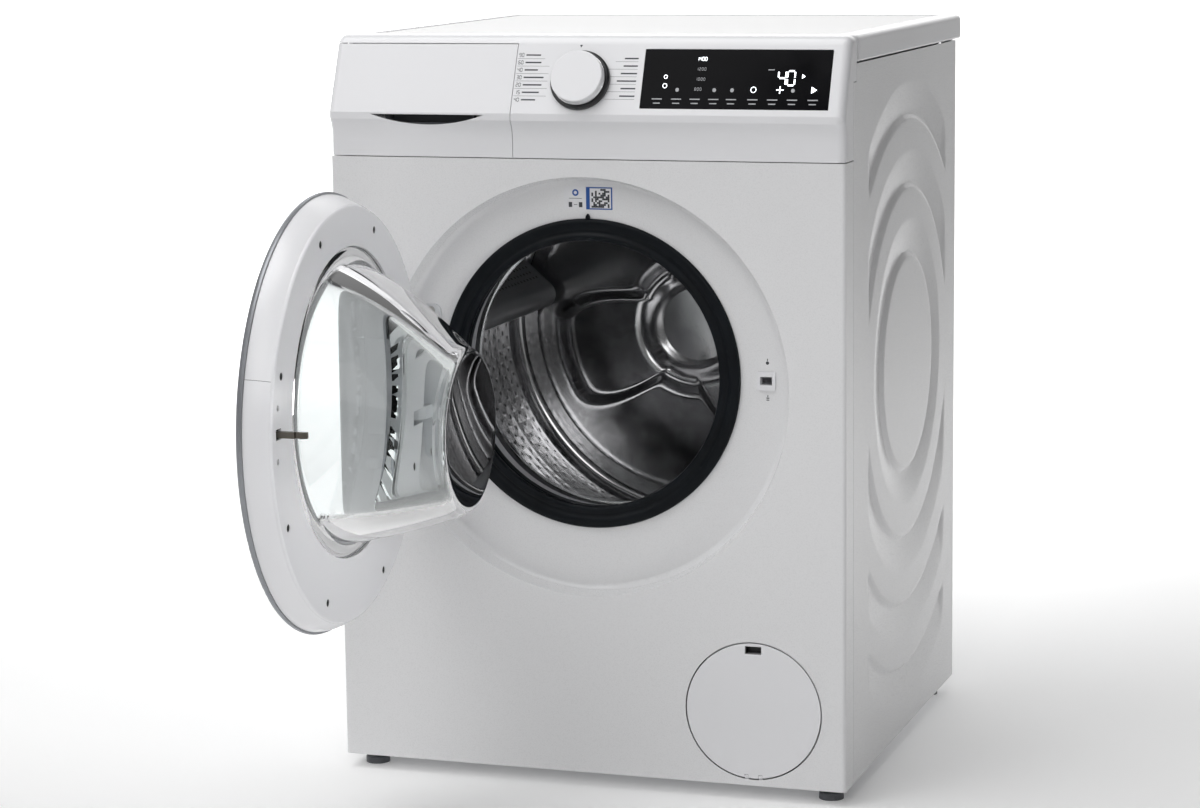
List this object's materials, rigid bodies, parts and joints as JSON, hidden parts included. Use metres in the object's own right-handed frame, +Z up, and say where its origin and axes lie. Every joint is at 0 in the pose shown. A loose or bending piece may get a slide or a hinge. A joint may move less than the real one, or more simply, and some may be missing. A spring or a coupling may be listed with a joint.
{
  "type": "front load washing machine",
  "caption": "Front loading washing machine with its round door open, glass bowl, steel drum, detergent drawer and display",
  "frame": {"origin": "on the floor, at the centre of the four levelling feet", "axes": "+Z up, -Y towards the user, out of the front with the door; +X to the right seen from the front"},
  "size_m": [0.598, 1.0512, 0.848],
  "materials": {
    "white_paint": "semi gloss",
    "white_plastic": "satin",
    "galvanised": "satin",
    "stainless": "polished",
    "cast_alloy": "satin",
    "zinc_hardware": "satin",
    "concrete": "matt",
    "grey_polymer": "satin",
    "tub_polymer": "satin",
    "black_polymer": "satin",
    "trim_grey": "satin",
    "door_pane": "clear",
    "bowl_glass": "clear",
    "display_glass": "gloss",
    "gasket_rubber": "matt",
    "hose_rubber": "matt",
    "lifter_grey": "satin",
    "worktop_board": "laminated white",
    "cover_plastic": "satin",
    "circuit_board": "satin"
  },
  "bodies": {
    "cabinet": {"front_panel": "white_paint", "side_panel_right": "white_paint", "side_panel_left": "white_paint", "rear_panel": "galvanised", "rear_cover": "cover_plastic", "base_plate": "galvanised", "feet": "grey_polymer", "foot_lock_nuts": "zinc_hardware", "worktop_frame": "white_plastic", "worktop_board": "worktop_board", "cross_rails": "galvanised", "control_panel": "white_plastic", "dispenser_housing": "cover_plastic", "display_window": "display_glass", "control_board": "circuit_board", "knob_ring": "black_polymer", "selector_encoder": "black_polymer", "hinge_bracket": "zinc_hardware", "hinge_screws": "zinc_hardware", "door_lock": "white_plastic", "door_gasket": "gasket_rubber", "damper_cylinders": "grey_polymer", "drain_pump": "black_polymer", "service_frame": "white_plastic", "inlet_valve": "cover_plastic", "cabinet_pipes": "hose_rubber", "cord_gland": "black_polymer"},
    "tub": {"tub_front": "tub_polymer", "tub_rear": "tub_polymer", "front_counterweight": "concrete", "top_counterweight": "concrete", "drum_bearings": "zinc_hardware", "drive_belt": "hose_rubber", "motor_body": "cast_alloy", "heater": "stainless", "suspension_springs": "zinc_hardware", "damper_rods": "zinc_hardware", "tub_hoses": "hose_rubber"},
    "drum": {"drum": "stainless", "drum_lifters": "lifter_grey", "drum_spider": "cast_alloy", "drum_pulley": "cast_alloy"},
    "motor_rotor": {"motor_pulley": "zinc_hardware"},
    "drawer": {"drawer_front": "white_plastic", "drawer_handle_cup": "grey_polymer", "drawer_tray": "cover_plastic", "siphon_insert": "grey_polymer"},
    "knob": {"knob_cap": "white_plastic"},
    "door": {"door_ring": "white_plastic", "door_trim": "trim_grey", "door_window": "door_pane", "door_glass": "bowl_glass", "door_screws": "zinc_hardware", "hinge_carrier": "cast_alloy", "hinge_pin": "zinc_hardware", "latch_pin": "zinc_hardware", "latch_carrier": "grey_polymer"},
    "latch": {"latch_hook": "zinc_hardware"},
    "flap": {"filter_flap": "white_plastic"},
    "pump_plug": {"pump_filter": "grey_polymer"}
  },
  "joints": [
    {"name": "door_hinge", "type": "hinge", "parent": "cabinet", "child": "door", "pos_m": [-0.217, -0.283, 0.4585], "axis": [0, 0, -1], "range_deg": [-88, 25]},
    {"name": "latch_pivot", "type": "hinge", "parent": "door", "child": "latch", "pos_m": [-0.18732, -0.70322, 0.4715], "axis": [0, 0, 1], "range_deg": [0, 8], "stiffness_Nm_per_rad": 0.15, "springref_deg": -5.73},
    {"name": "drawer_slide", "type": "slide", "parent": "cabinet", "child": "drawer", "axis": [0, -1, 0], "range_m": [0, 0.17]},
    {"name": "knob_spin", "type": "hinge", "parent": "cabinet", "child": "knob", "pos_m": [-0.002, -0.26699, 0.7995], "axis": [0, -0.9211, 0.3894], "continuous": true},
    {"name": "flap_hinge", "type": "hinge", "parent": "cabinet", "child": "flap", "pos_m": [0.1935, -0.2738, 0.0272], "axis": [1, 0, 0], "range_deg": [0, 75]},
    {"name": "filter_turn", "type": "hinge", "parent": "cabinet", "child": "pump_plug", "pos_m": [0.1935, -0.235, 0.094], "axis": [0, -1, 0], "range_deg": [0, 90]},
    {"name": "tub_float", "type": "slide", "parent": "cabinet", "child": "tub", "axis": [0, 0, 1], "range_m": [-0.01, 0.01], "stiffness_N_per_m": 60000, "springref_m": 0.00558, "deforming": ["suspension_springs", "tub_hoses"]},
    {"name": "drum_spin", "type": "hinge", "parent": "tub", "child": "drum", "pos_m": [0, 0.165, 0.4715], "axis": [0, 1, 0], "continuous": true},
    {"name": "motor_spin", "type": "hinge", "parent": "tub", "child": "motor_rotor", "pos_m": [0.095, 0.235, 0.138], "axis": [0, 1, 0], "continuous": true}
  ],
  "couplings": [
    {"joint": "motor_spin", "follows": "drum_spin", "ratio": 12.069}
  ]
}
